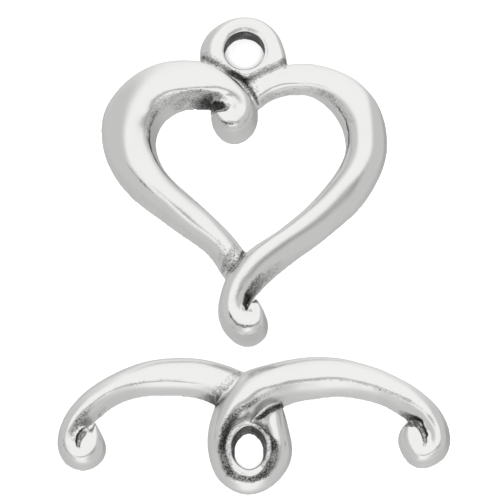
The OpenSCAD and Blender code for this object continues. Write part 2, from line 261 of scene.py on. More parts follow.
def smoothStep(low, high, values):
    # Cubic ease from 0 at low to 1 at high, which may be the lower of the two
    t = ((values - low) / (high - low)).clip(0, 1)
    return t * t * (3 - 2 * t)


waveWays = ((1, 0.3, 0.2), (-0.4, 1, 0.3), (0.7, -0.8, 0.5), (0.2, 0.6, -1))


def waves(points, look):
    # Mean of a few sine waves in fixed directions: the slight unevenness of a cast skin
    total = np.zeros(len(points))
    for k, way in enumerate(waveWays):
        reach = (points * way).sum(axis=1) / (look["waveLength"] * (1 - look["waveStep"] * k))
        total += np.sin(2 * np.pi * reach + look["waveShift"] * k)
    return look["wave"] * total / len(waveWays)


def nearStrokes(points, strokes):
    # For each straight piece of each stroke: share of the way out to its reach, where 0 is
    # on the line and 1 at its reach, and the stroke's strength beside each point
    for stroke in strokes:
        for (x0, y0, r0, s0), (x1, y1, r1, s1) in zip(stroke[:-1], stroke[1:]):
            dx, dy = x1 - x0, y1 - y0
            t = (((points[:, 0] - x0) * dx + (points[:, 1] - y0) * dy) / (dx * dx + dy * dy)).clip(0, 1)
            away = np.hypot(points[:, 0] - x0 - t * dx, points[:, 1] - y0 - t * dy)
            yield away / (r0 + (r1 - r0) * t), s0 + (s1 - s0) * t


def paintTarnishAndReflections(points, normals, look):
    # Tarnish, painted reflections and painted shade fall off smoothly away from their lines; the walls of
    # the holes are dark all over
    total = np.zeros(len(points))
    for share, strength in nearStrokes(points, look["tarnishAndPaintedReflections"]):
        total = np.maximum(total, strength * smoothStep(1, castLook["darkLineCore"], share))
    steep = smoothStep(*castLook["holeLean"], normals[:, 2])
    for x, y, halfX, halfY in look["holes"]:
        inside = np.hypot((points[:, 0] - x) / halfX, (points[:, 1] - y) / halfY)
        total = np.maximum(total, smoothStep(*castLook["holeEdge"], inside) * steep)
    return total


def cutCreases(points, creases, look):
    # Each crease sinks the skin by its depth, less and less towards its sides
    depth = np.zeros(len(points))
    for share, strength in nearStrokes(points, creases):
        depth = np.maximum(depth, strength * smoothStep(1, look["creaseCore"], share))
    points[:, 2] = np.maximum(points[:, 2] - depth, np.minimum(points[:, 2], look["creaseFloor"]))
    return points


def meltPlaces(points, edges, places, look):
    # Strong smoothing inside each round place, fading out towards its edge
    smooth = spread(points, edges, look["meltRounds"])
    for x, y, radius in places:
        away = np.hypot(points[:, 0] - x, points[:, 1] - y) / radius
        weight = smoothStep(1, look["meltCore"], away)[:, None]
        weight = weight * (points[:, 2:] > look["meltAbove"])
        points = points + weight * (smooth - points)
    return points


def joinedSkin(name, shells, voxel):
    # The shells of one casting, remeshed together into one closed skin
    points, faces, start = [], [], 0
    for shellPoints, shellFaces in shells:
        points.append(shellPoints)
        faces += [[i + start for i in face] for face in shellFaces]
        start += len(shellPoints)
    raw = bpy.data.meshes.new(name + "Raw")
    raw.from_pydata(np.vstack(points).tolist(), [], faces)
    rawObject = addObject(name + "Raw", raw)
    remesh = rawObject.modifiers.new("skin", "REMESH")
    remesh.mode = "VOXEL"
    remesh.voxel_size = voxel
    skin = evaluated(rawObject)
    bpy.data.objects.remove(rawObject)
    bpy.data.meshes.remove(raw)
    return skin


def addMarks(mesh, points, edges, normals, onFloor, look):
    # Three marks for the material: how far the skin lies below the mean of its surroundings,
    # how upright it is, and how dark its tarnish and its painted reflections and shade make it
    hollow = ((spread(points, edges, castLook["hollowRounds"]) - points) * normals).sum(axis=1)
    hollow[onFloor] = 0
    hollow = spread(hollow, edges, castLook["hollowEvening"])[:, 0] / castLook["hollowDepth"]
    wall = smoothStep(*castLook["wallLean"], np.abs(normals[:, 2])) * (points[:, 2] > castLook["wallFoot"])
    marks = np.column_stack([hollow.clip(0, 1), wall, paintTarnishAndReflections(points, normals, look)])
    layer = mesh.attributes.new("marks", "FLOAT_VECTOR", "POINT")
    layer.data.foreach_set("vector", marks.astype(np.float32).ravel())


def thinned(obj, limit):
    # Flat parts lose their surplus faces first, so the face of the casting keeps its own
    mesh = obj.data
    triangles = sum(len(polygon.vertices) - 2 for polygon in mesh.polygons)
    modifier = obj.modifiers.new("thin", "DECIMATE")
    modifier.ratio = min(1.0, limit / triangles)
    obj.data = evaluated(obj)
    obj.modifiers.clear()
    bpy.data.meshes.remove(mesh)


def cast(name, shells, look):
    # The shells become one skin. A few rounds of smoothing leave the fillets of a cast
    # corner, the scrolls are melted and creased, and each point moves out by the waves
    skin = joinedSkin(name, shells, castLook["voxel"])
    points = meshPoints(skin)
    edges = readArray(skin.edges, "vertices", 2, np.int32)
    onFloor = points[:, 2] < castLook["underside"] * castLook["voxel"]
    points = spread(points, edges, castLook["fillet"])
    points = meltPlaces(points, edges, look["melts"], castLook)
    points = cutCreases(points, look["creases"], castLook)
    points = spread(points, edges, castLook["finish"])
    points[onFloor, 2] = 0
    points[:, 2] = points[:, 2].clip(0)
    points += (*look["place"], 0)
    setPoints(skin, points)
    normals = pointNormals(skin)
    points += normals * np.where(onFloor, 0, waves(points, castLook))[:, None]
    setPoints(skin, points)
    addMarks(skin, points, edges, normals, onFloor, look)
    piece = addObject(name, skin)
    thinned(piece, castLook["triangles"])
    piece.data.name = name
    setPoints(piece.data, meshPoints(piece.data) * mm)
    piece.data.polygons.foreach_set("use_smooth", np.ones(len(piece.data.polygons), dtype=bool))
    print(name, "is cast:", len(piece.data.polygons), "faces")
    return piece


# Tables of the strokes, in millimetres in the frame of their own casting. Columns:
# inner foot x, inner foot y, outer foot x, outer foot y,
# inner wall height, outer wall height, crown height, place of the crown from inner 0 to outer 1

# Left stroke, from under the crossing at the point of the heart to the scroll at the top
leftStroke = np.array([
    (  0.50,  5.85,  -0.55,  3.95, 0.60, 0.50, 1.40, 0.50),
    (  0.00,  6.30,  -1.25,  4.45, 0.80, 0.80, 1.50, 0.48),
    ( -0.55,  7.10,  -1.95,  5.65, 1.00, 1.00, 1.55, 0.54),
    ( -1.15,  7.75,  -2.85,  6.55, 1.10, 1.05, 1.60, 0.57),
    ( -1.90,  8.55,  -3.70,  7.15, 1.30, 1.10, 1.65, 0.59),
    ( -2.75,  9.35,  -4.70,  7.90, 1.40, 1.15, 1.85, 0.59),
    ( -3.55, 10.10,  -5.65,  8.65, 1.40, 1.15, 1.95, 0.57),
    ( -4.30, 10.80,  -6.75,  9.50, 1.55, 1.10, 2.00, 0.54),
    ( -4.90, 11.50,  -7.70, 10.55, 1.60, 1.00, 1.95, 0.51),
    ( -5.30, 12.25,  -8.40, 11.65, 1.65, 0.85, 1.95, 0.48),
    ( -5.50, 13.00,  -8.85, 12.90, 1.65, 0.50, 2.05, 0.42),
    ( -5.50, 13.65,  -9.00, 14.20, 1.75, 0.40, 2.15, 0.36),
    ( -5.30, 14.30,  -8.90, 15.20, 1.90, 0.50, 2.30, 0.30),
    ( -5.00, 14.80,  -8.55, 16.10, 1.90, 0.75, 2.35, 0.31),
    ( -4.55, 15.20,  -7.85, 17.10, 1.85, 1.10, 2.45, 0.32),
    ( -4.00, 15.50,  -6.80, 17.95, 2.00, 1.40, 2.45, 0.30),
    ( -3.40, 15.65,  -5.45, 18.55, 2.30, 1.65, 2.40, 0.26),
    ( -2.85, 15.65,  -4.05, 18.75, 2.30, 1.75, 2.45, 0.25),
    ( -2.35, 15.62,  -2.45, 18.60, 2.25, 1.90, 2.40, 0.30),
    ( -1.95, 15.64,  -1.15, 17.95, 2.05, 2.05, 2.30, 0.38),
    ( -1.65, 15.64,   0.00, 16.95, 1.75, 2.00, 2.15, 0.43),
    ( -1.52, 15.58,   0.75, 15.90, 1.65, 1.65, 1.95, 0.50),
    ( -1.44, 15.48,   0.85, 15.00, 1.55, 1.10, 1.85, 0.58),
    ( -1.38, 15.38,   0.65, 14.20, 1.60, 0.80, 1.95, 0.59),
    ( -1.31, 15.28,   0.05, 13.55, 1.75, 0.65, 2.15, 0.57),
    ( -1.37, 15.37,  -0.75, 13.35, 1.90, 0.55, 2.15, 0.55),
    ( -1.40, 15.47,  -1.50, 13.70, 1.80, 0.55, 2.10, 0.54),
    ( -1.42, 15.57,  -2.00, 14.45, 1.70, 0.70, 2.05, 0.52),
    ( -1.48, 15.70,  -2.10, 15.20, 1.40, 0.90, 1.90, 0.50),
    ( -1.65, 15.78,  -1.98, 15.62, 1.00, 0.90, 1.40, 0.50),
])

# Right stroke, from beside the top scroll to the scroll at the point of the heart
rightStroke = np.array([
    (  0.35, 15.30,   0.15, 17.35, 0.60, 0.75, 1.04, 0.50),
    (  1.00, 15.70,   0.70, 17.60, 0.65, 0.75, 1.06, 0.40),
    (  1.60, 16.20,   1.60, 18.10, 0.65, 0.75, 1.08, 0.34),
    (  2.30, 16.45,   2.45, 18.50, 0.50, 0.75, 1.16, 0.29),
    (  2.90, 16.60,   3.35, 18.65, 0.50, 0.70, 1.10, 0.25),
    (  3.55, 16.60,   4.40, 18.60, 0.55, 0.75, 1.20, 0.24),
    (  4.15, 16.50,   5.40, 18.35, 0.55, 0.85, 1.30, 0.27),
    (  4.70, 16.20,   6.35, 17.95, 0.55, 1.00, 1.35, 0.33),
    (  5.20, 15.80,   7.20, 17.45, 0.60, 1.10, 1.45, 0.39),
    (  5.60, 15.30,   7.85, 16.80, 0.60, 1.20, 1.50, 0.45),
    (  5.95, 14.70,   8.40, 16.00, 0.65, 1.15, 1.55, 0.48),
    (  6.20, 14.10,   8.80, 14.95, 0.75, 0.75, 1.55, 0.49),
    (  6.30, 13.45,   8.95, 13.90, 0.75, 0.40, 1.45, 0.49),
    (  6.30, 12.80,   8.95, 12.85, 0.70, 0.30, 1.40, 0.48),
    (  6.05, 12.10,   8.75, 11.90, 0.70, 0.30, 1.50, 0.48),
    (  5.65, 11.35,   8.35, 10.90, 0.70, 0.35, 1.60, 0.46),
    (  5.10, 10.60,   7.80,  9.90, 0.70, 0.40, 1.60, 0.44),
    (  4.40,  9.75,   7.10,  8.95, 0.75, 0.45, 1.55, 0.41),
    (  3.65,  8.95,   6.20,  8.10, 0.80, 0.50, 1.55, 0.38),
    (  2.80,  8.20,   5.20,  7.20, 0.90, 0.50, 1.60, 0.37),
    (  1.95,  7.50,   4.20,  6.40, 0.95, 0.50, 1.70, 0.35),
    (  1.10,  6.90,   3.25,  5.70, 1.10, 0.65, 1.80, 0.36),
    (  0.35,  6.40,   2.35,  4.95, 1.10, 0.75, 1.90, 0.41),
    ( -0.30,  5.80,   1.55,  4.25, 1.25, 0.90, 1.95, 0.45),
    ( -0.85,  5.05,   0.85,  3.45, 1.30, 1.00, 1.90, 0.48),
    ( -1.25,  4.35,   0.48,  3.02, 1.30, 0.90, 1.80, 0.50),
    ( -1.50,  3.55,   0.36,  2.80, 1.30, 0.90, 1.75, 0.47),
    ( -1.65,  2.70,   0.31,  2.64, 1.20, 0.95, 1.70, 0.43),
    ( -1.60,  1.80,   0.28,  2.52, 1.10, 1.05, 1.65, 0.41),
    ( -1.25,  0.95,   0.25,  2.43, 1.15, 1.15, 1.70, 0.42),
    ( -0.60,  0.30,   0.22,  2.36, 1.15, 1.20, 1.80, 0.44),
    (  0.15,  0.00,   0.23,  2.38, 1.15, 1.30, 1.90, 0.44),
    (  0.80,  0.20,   0.24,  2.44, 1.05, 1.40, 1.80, 0.40),
    (  1.30,  0.60,   0.24,  2.54, 1.05, 1.40, 1.80, 0.42),
    (  1.50,  1.30,   0.24,  2.66, 1.05, 1.35, 1.80, 0.45),
    (  1.40,  1.90,   0.30,  2.80, 1.00, 1.20, 1.70, 0.48),
    (  1.12,  2.42,   0.45,  2.92, 1.00, 1.00, 1.50, 0.50),
    (  0.85,  2.85,   0.60,  3.02, 0.90, 0.80, 1.20, 0.50),
])

# Outline of the bail round its hole: angle in degrees, radius in millimetres,
# and how far in from the outline its face is rounded
bailOutline = np.array([
    (-176, 2.80, 1.15),
    (-168, 2.74, 1.10),
    (-150, 2.20, 0.60),
    (-125, 1.80, 0.35),
    (-103, 1.80, 0.30),
    ( -87, 1.92, 0.30),
    ( -65, 1.80, 0.30),
    ( -43, 1.94, 0.30),
    ( -26, 2.32, 0.35),
    ( -15, 2.80, 0.40),
    (  -6, 2.66, 0.40),
    (  10, 2.50, 0.40),
    (  55, 2.45, 0.42),
    (  90, 2.40, 0.45),
    ( 125, 2.52, 0.70),
    ( 150, 2.72, 1.05),
    ( 170, 2.82, 1.15),
])

# Corners of the web between the bail and the strokes, in the heart's own frame
webOutline = np.array([
    (-2.70, 18.20),
    (-2.30, 18.95),
    (-1.64, 18.50),
    (-1.24, 17.86),
    (-0.60, 17.46),
    ( 0.00, 17.35),
    ( 0.60, 17.46),
    ( 1.24, 17.86),
    ( 1.64, 18.50),
    ( 2.20, 18.95),
    ( 2.60, 18.20),
    ( 1.30, 16.60),
    ( 0.60, 15.90),
    (-0.20, 16.60),
    (-1.30, 17.60),
])

# Lines of tarnish, and lines of painted reflection and painted shade, in millimetres from the middle of the
# clasp: x, y, reach, strength
heartTarnishAndPaintedReflections = [
    # inside of the left lobe: its rough upper edge, then the wall down to the top scroll
    [(-5.73, 10.02, 0.12, 0.40), (-5.14, 10.16, 0.13, 0.55), (-4.53, 10.26, 0.13, 0.60),
     (-3.69, 10.21, 0.14, 0.60), (-2.97, 10.19, 0.16, 0.60), (-2.25, 10.09, 0.20, 0.60),
     (-1.77, 9.73, 0.24, 0.50)],
    [(-5.11, 9.64, 0.40, 0.52), (-4.23, 9.82, 0.46, 0.68), (-3.57, 9.82, 0.46, 0.82),
     (-2.91, 9.79, 0.48, 1.00), (-2.40, 9.41, 0.46, 1.10), (-2.03, 9.36, 0.40, 1.00),
     (-1.65, 9.36, 0.24, 0.60)],
    [(-6.17, 8.70, 0.22, 0.50), (-5.91, 9.18, 0.30, 0.54), (-5.53, 9.58, 0.36, 0.58),
     (-4.95, 9.91, 0.36, 0.60), (-4.17, 10.01, 0.30, 0.58), (-3.39, 10.00, 0.30, 0.60),
     (-2.73, 9.96, 0.34, 0.92)],
    # between the face of the left stroke and that line
    [(-5.61, 9.74, 0.26, 0.52), (-6.07, 9.28, 0.26, 0.60), (-6.39, 8.64, 0.22, 0.64),
     (-6.61, 8.02, 0.20, 0.64), (-6.68, 7.26, 0.16, 0.60), (-6.51, 6.42, 0.12, 0.48)],
    # thin line along the inner edge of the left stroke
    [(-5.71, 9.41, 0.09, 0.40), (-6.22, 8.70, 0.10, 0.80), (-6.52, 7.92, 0.09, 0.80),
     (-6.56, 7.08, 0.09, 1.05), (-6.40, 6.36, 0.09, 0.95), (-6.09, 5.70, 0.09, 0.95),
     (-5.73, 5.16, 0.09, 0.70), (-4.65, 3.90, 0.08, 0.50), (-3.00, 2.61, 0.08, 0.40),
     (-2.05, 1.64, 0.08, 0.40)],
    # crossing at the point of the heart: patina there, with painted shadow where the strokes cross
    [(-0.66, 0.03, 0.22, 0.85), (-0.79, -0.45, 0.22, 0.90), (-1.05, -0.84, 0.20, 0.85),
     (-1.43, -1.16, 0.20, 0.80), (-1.70, -1.44, 0.16, 0.60)],
    [(-1.17, 0.24, 0.40, 0.56), (-1.41, -0.36, 0.60, 0.64), (-1.72, -0.79, 0.60, 0.70),
     (-1.91, -1.04, 0.40, 0.66)],
    [(-0.84, -0.39, 0.36, 0.62), (-1.17, -0.84, 0.42, 0.74), (-1.53, -1.20, 0.34, 0.74)],
    [(-2.37, 0.54, 0.40, 0.42), (-1.95, -0.06, 0.50, 0.50), (-2.09, -0.44, 0.40, 0.48)],
    # dark line down the outer slope of the left stroke: a painted reflection of the dark slit
    [(-5.97, 3.30, 0.10, 0.35), (-6.51, 3.78, 0.12, 0.62), (-7.06, 4.37, 0.12, 0.66),
     (-7.59, 5.03, 0.12, 0.60), (-8.09, 5.76, 0.12, 0.45)],
    # bottom scroll: inside, then fading up the stroke
    [(-0.46, -3.96, 0.16, 1.00), (-0.58, -3.60, 0.26, 1.05), (-0.43, -2.95, 0.34, 1.05),
     (-0.24, -2.67, 0.40, 0.95), (0.10, -2.22, 0.46, 0.76), (0.52, -1.76, 0.46, 0.64),
     (1.12, -1.22, 0.42, 0.54), (1.78, -0.73, 0.32, 0.42)],
    # dark arc round the face of the bottom scroll: a painted reflection of the dark slit
    [(-1.56, -4.10, 0.07, 0.80), (-1.41, -4.50, 0.13, 0.80), (-1.04, -4.97, 0.16, 0.82),
     (-0.57, -5.15, 0.17, 0.85), (-0.09, -5.10, 0.14, 0.75)],
    # dark arc on the top scroll: a painted reflection of the dark slit
    [(-2.01, 8.28, 0.08, 0.80), (-1.75, 8.12, 0.14, 0.78), (-1.35, 8.08, 0.14, 0.75),
     (-0.92, 8.21, 0.10, 0.55)],
    # groove round the foot of the bail
    [(-3.26, 12.96, 0.46, 0.50), (-2.37, 12.37, 0.48, 0.56), (-1.23, 11.59, 0.48, 0.58),
     (-0.45, 11.16, 0.48, 0.56), (0.48, 11.73, 0.46, 0.50), (1.29, 12.11, 0.43, 0.50),
     (1.96, 12.54, 0.40, 0.50)],
    [(-3.21, 12.84, 0.22, 0.80), (-2.85, 12.60, 0.28, 0.72), (-2.33, 12.27, 0.30, 0.74),
     (-1.79, 11.98, 0.32, 0.78), (-1.23, 11.59, 0.30, 0.88), (-0.75, 11.32, 0.26, 0.95),
     (-0.45, 11.16, 0.30, 1.00)],
    [(-0.45, 11.16, 0.26, 0.95), (-0.09, 11.45, 0.30, 0.62), (0.48, 11.73, 0.30, 0.56),
     (1.02, 11.97, 0.30, 0.56), (1.59, 12.23, 0.26, 0.60), (1.96, 12.54, 0.26, 0.85)],
    # beside the top scroll, where the right stroke starts
    [(-0.45, 11.10, 0.24, 0.95), (-0.25, 10.74, 0.32, 0.88), (0.03, 10.26, 0.28, 0.90),
     (0.23, 9.88, 0.18, 0.85)],
    [(-0.69, 11.16, 0.26, 0.80), (-0.45, 10.77, 0.32, 0.72), (-0.21, 10.32, 0.28, 0.66)],
    [(0.00, 10.99, 0.50, 0.42), (0.21, 10.50, 0.45, 0.42), (0.33, 10.20, 0.30, 0.38)],
    # inner edge of the right lobe
    [(0.46, 10.01, 0.20, 0.60), (0.84, 10.29, 0.18, 0.52), (1.46, 10.57, 0.16, 0.50),
     (2.55, 10.79, 0.16, 0.48), (3.51, 10.73, 0.20, 0.50)],
    [(3.63, 10.70, 0.22, 0.48), (4.27, 10.48, 0.36, 0.54), (4.83, 10.14, 0.44, 0.57),
     (5.41, 9.60, 0.46, 0.56), (5.93, 8.88, 0.40, 0.52), (6.23, 8.28, 0.26, 0.46)],
    [(4.67, 10.16, 0.10, 0.62), (5.31, 9.47, 0.10, 0.78), (5.77, 8.67, 0.10, 0.84), (5.93, 7.92, 0.10, 0.86),
     (5.95, 7.20, 0.10, 0.84), (5.74, 6.36, 0.10, 0.74), (5.41, 5.48, 0.10, 0.66), (4.77, 4.44, 0.10, 0.55),
     (3.85, 3.32, 0.08, 0.42)],
]

bailLook = {
    "centre": (0.0, 19.1),   # of the hole
    "holeRadius": 1.25,
    "crown": 1.6,
    "rim": 1.54,             # height of the hole's rim
    "bevel": 0.10,
    "bevelSkip": 4,          # the bevel takes every fourth point of the arc
    "roundness": 0.8,        # 1 is an ellipse, less is fuller
    "sections": 240,         # all the way round
    "evening": 13,           # sections that are averaged
    "arcPoints": 24,
    "flatPoints": 8,
    "webHeight": 1.05,
}

heartLook = {
    "place": (-0.60, -5.97),      # of the foot of the heart, from the middle of the clasp
    "leftParts": [24],            # rows where the strand is parted, because it curls on itself
    "rightParts": [30],
    # fillings at the middle of each scroll: x, y, radius at the foot, height
    "plugs": [(-1.12, 15.35, 0.74, 2.06), (-1.50, 15.40, 0.6, 1.8), (0.30, 2.15, 0.50, 1.75)],
    # places where the skin is melted smooth before the creases are cut: x, y, radius
    "melts": [(-1.10, 15.30, 1.0), (0.70, 2.85, 0.5)],
    # creases cut into the scrolls: x, y, half width, depth
    "creases": [
        [(-2.34, 15.40, 0.35, 0.9), (-1.96, 15.17, 0.30, 0.8), (-1.59, 15.07, 0.25, 0.6),
         (-1.21, 15.10, 0.22, 0.35), (-0.90, 15.23, 0.10, 0.05)],
        [(0.09, 1.87, 0.06, 0.10), (0.17, 2.37, 0.25, 0.5), (0.26, 2.89, 0.35, 0.4)],
    ],
    # holes with dark walls, from the middle of the clasp: x, y, half width, half length
    "holes": [(-0.60, 13.13, 1.42, 1.42)],
    "tarnishAndPaintedReflections": heartTarnishAndPaintedReflections,
}

heartShells = partedShells(leftStroke, heartLook["leftParts"])
heartShells += partedShells(rightStroke, heartLook["rightParts"])
heartShells += [bailShell(bailOutline, bailLook), webShell(webOutline, bailLook["webHeight"])]
heartShells += [plugShell(*plug) for plug in heartLook["plugs"]]
heart = cast("heartRing", heartShells, heartLook)

# Left arm of the bar, from its scroll under the crossing to the right side of the eye
leftArm = np.array([
    ( -9.72,  4.40,  -9.58,  4.62, 0.50, 0.50, 0.80, 0.50),
    ( -9.85,  4.30,  -9.35,  4.25, 0.60, 0.60, 1.10, 0.50),
    (-10.02,  4.10,  -9.12,  3.75, 0.80, 0.60, 1.20, 0.50),
    (-10.22,  3.80,  -8.92,  3.20, 1.00, 0.50, 1.25, 0.46),
    (-10.40,  3.45,  -8.95,  2.55, 1.10, 0.50, 1.30, 0.46),
    (-10.52,  3.10,  -9.30,  2.00, 1.15, 0.55, 1.30, 0.46),
    (-10.58,  2.82,  -9.85,  1.65, 1.15, 0.60, 1.30, 0.46),
    (-10.62,  2.72, -10.45,  1.55, 1.15, 0.60, 1.30, 0.46),
    (-10.68,  2.74, -11.10,  1.75, 1.15, 0.55, 1.30, 0.45),
    (-10.72,  2.88, -11.60,  2.20, 1.10, 0.50, 1.30, 0.44),
    (-10.72,  3.10, -11.90,  2.85, 1.00, 0.55, 1.35, 0.47),
    (-10.66,  3.40, -11.95,  3.60, 0.80, 0.40, 1.40, 0.46),
    (-10.50,  3.75, -11.80,  4.40, 0.60, 0.30, 1.50, 0.47),
    (-10.20,  4.15, -11.40,  5.30, 0.60, 0.30, 1.55, 0.45),
    ( -9.70,  4.62, -10.80,  6.10, 0.70, 0.30, 1.65, 0.42),
    ( -9.05,  5.20, -10.10,  6.80, 0.60, 0.30, 1.65, 0.38),
    ( -8.50,  5.65,  -9.25,  7.40, 0.50, 0.30, 1.70, 0.32),
    ( -7.70,  6.05,  -8.30,  7.95, 0.40, 0.30, 1.70, 0.29),
    ( -6.75,  6.30,  -7.25,  8.40, 0.30, 0.40, 1.50, 0.26),
    ( -5.75,  6.40,  -6.15,  8.70, 0.30, 0.45, 1.35, 0.27),
    ( -4.75,  6.40,  -4.95,  8.85, 0.35, 0.50, 1.35, 0.27),
    ( -3.75,  6.30,  -3.75,  8.85, 0.50, 0.55, 1.40, 0.25),
    ( -2.85,  6.10,  -2.65,  8.70, 0.70, 0.60, 1.50, 0.27),
    ( -2.15,  5.75,  -1.50,  8.40, 1.10, 0.60, 1.65, 0.35),
    ( -1.25,  5.35,  -0.45,  7.95, 0.90, 0.60, 1.65, 0.40),
    ( -0.45,  4.90,   0.60,  7.30, 0.60, 0.50, 1.15, 0.42),
    (  0.25,  4.45,   1.55,  6.40, 0.60, 0.50, 1.00, 0.42),
    (  0.62,  3.99,   2.10,  5.50, 0.95, 0.55, 1.45, 0.40),
    (  0.90,  3.42,   2.40,  4.30, 0.95, 0.50, 1.50, 0.40),
    (  1.02,  2.81,   2.65,  3.10, 0.90, 0.45, 1.40, 0.38),
])

# Strand round the lower side of the eye, over the left arm and along the right arm to its
# scroll. Its first row is the left arm's last one
rightArm = np.array([
    (  1.02,  2.81,   2.65,  3.10, 0.90, 0.45, 1.40, 0.38),
    (  0.91,  2.21,   2.50,  2.10, 0.80, 0.40, 1.25, 0.36),
    (  0.66,  1.68,   2.05,  1.25, 0.75, 0.35, 1.15, 0.36),
    (  0.36,  1.36,   1.25,  0.45, 0.70, 0.30, 1.05, 0.36),
    ( -0.05,  1.25,   0.10,  0.00, 0.65, 0.30, 0.95, 0.36),
    ( -0.45,  1.36,  -0.95,  0.20, 0.70, 0.30, 0.95, 0.36),
    ( -0.87,  1.69,  -1.90,  0.90, 0.75, 0.30, 1.05, 0.36),
    ( -1.15,  2.20,  -2.45,  1.95, 0.80, 0.35, 1.25, 0.36),
    ( -1.29,  2.94,  -2.65,  3.10, 0.90, 0.40, 1.50, 0.38),
    ( -1.11,  3.52,  -2.60,  4.25, 1.00, 0.40, 1.75, 0.40),
    ( -0.72,  3.93,  -2.35,  5.25, 1.10, 0.45, 2.00, 0.42),
    ( -0.26,  4.13,  -1.95,  6.20, 1.00, 0.65, 2.20, 0.46),
    (  0.25,  4.40,  -1.45,  6.95, 1.30, 0.50, 2.35, 0.43),
    (  0.80,  5.00,  -0.90,  7.60, 1.50, 0.40, 2.35, 0.41),
    (  1.45,  5.40,  -0.10,  8.05, 1.40, 0.70, 2.35, 0.38),
    (  2.10,  5.65,   0.75,  8.30, 1.20, 0.95, 2.20, 0.38),
    (  2.95,  6.00,   1.90,  8.60, 0.85, 1.05, 1.95, 0.38),
    (  3.90,  6.15,   3.05,  8.80, 0.45, 0.95, 1.70, 0.38),
    (  4.90,  6.30,   4.30,  8.90, 0.30, 0.85, 1.55, 0.38),
    (  5.95,  6.30,   5.60,  8.80, 0.30, 0.90, 1.50, 0.37),
    (  6.90,  6.15,   6.80,  8.50, 0.30, 0.95, 1.55, 0.34),
    (  7.70,  5.95,   7.95,  8.15, 0.30, 1.00, 1.55, 0.34),
    (  8.45,  5.65,   9.00,  7.65, 0.35, 1.10, 1.60, 0.33),
    (  9.10,  5.25,   9.95,  7.15, 0.50, 1.10, 1.60, 0.38),
    (  9.60,  4.90,  10.70,  6.60, 0.70, 1.05, 1.65, 0.44),
    ( 10.00,  4.55,  11.35,  6.05, 0.70, 0.85, 1.65, 0.47),
    ( 10.35,  4.25,  11.90,  5.35, 0.65, 0.65, 1.65, 0.47),
    ( 10.60,  3.90,  12.30,  4.45, 0.50, 0.40, 1.50, 0.50),
    ( 10.76,  3.45,  12.45,  3.55, 0.40, 0.30, 1.45, 0.52),
    ( 10.84,  3.05,  12.25,  2.65, 0.80, 0.40, 1.40, 0.52),
    ( 10.84,  2.86,  11.65,  2.05, 1.00, 0.50, 1.35, 0.46),
    ( 10.80,  2.80,  10.85,  1.70, 1.10, 0.60, 1.30, 0.46),
    ( 10.76,  2.86,  10.15,  1.80, 1.15, 0.60, 1.30, 0.46),
    ( 10.74,  3.05,   9.60,  2.30, 1.10, 0.50, 1.30, 0.46),
    ( 10.72,  3.35,   9.25,  3.00, 1.05, 0.45, 1.30, 0.46),
    ( 10.64,  3.70,   9.15,  3.60, 0.90, 0.45, 1.30, 0.48),
    ( 10.48,  4.02,   9.30,  4.15, 0.80, 0.45, 1.25, 0.48),
    ( 10.25,  4.28,   9.55,  4.50, 0.60, 0.50, 1.10, 0.50),
    (  9.95,  4.45,   9.80,  4.70, 0.50, 0.50, 0.80, 0.50),
])

# Ring round the eye of the bar. Columns: angle in degrees, radius at the foot of the hole,
# how far its wall leans out, width and height of the ring
eyeRing = np.array([
    (  0, 0.84, 0.17, 0.55, 1.20),
    ( 45, 0.98, 0.18, 0.56, 1.20),
    ( 90, 1.21, 0.19, 0.47, 1.22),
    (135, 0.98, 0.19, 0.65, 1.12),
    (180, 0.84, 0.20, 0.68, 1.15),
    (225, 1.00, 0.15, 0.64, 1.00),
    (270, 1.22, 0.12, 0.63, 0.90),
    (315, 1.00, 0.15, 0.56, 1.00),
])
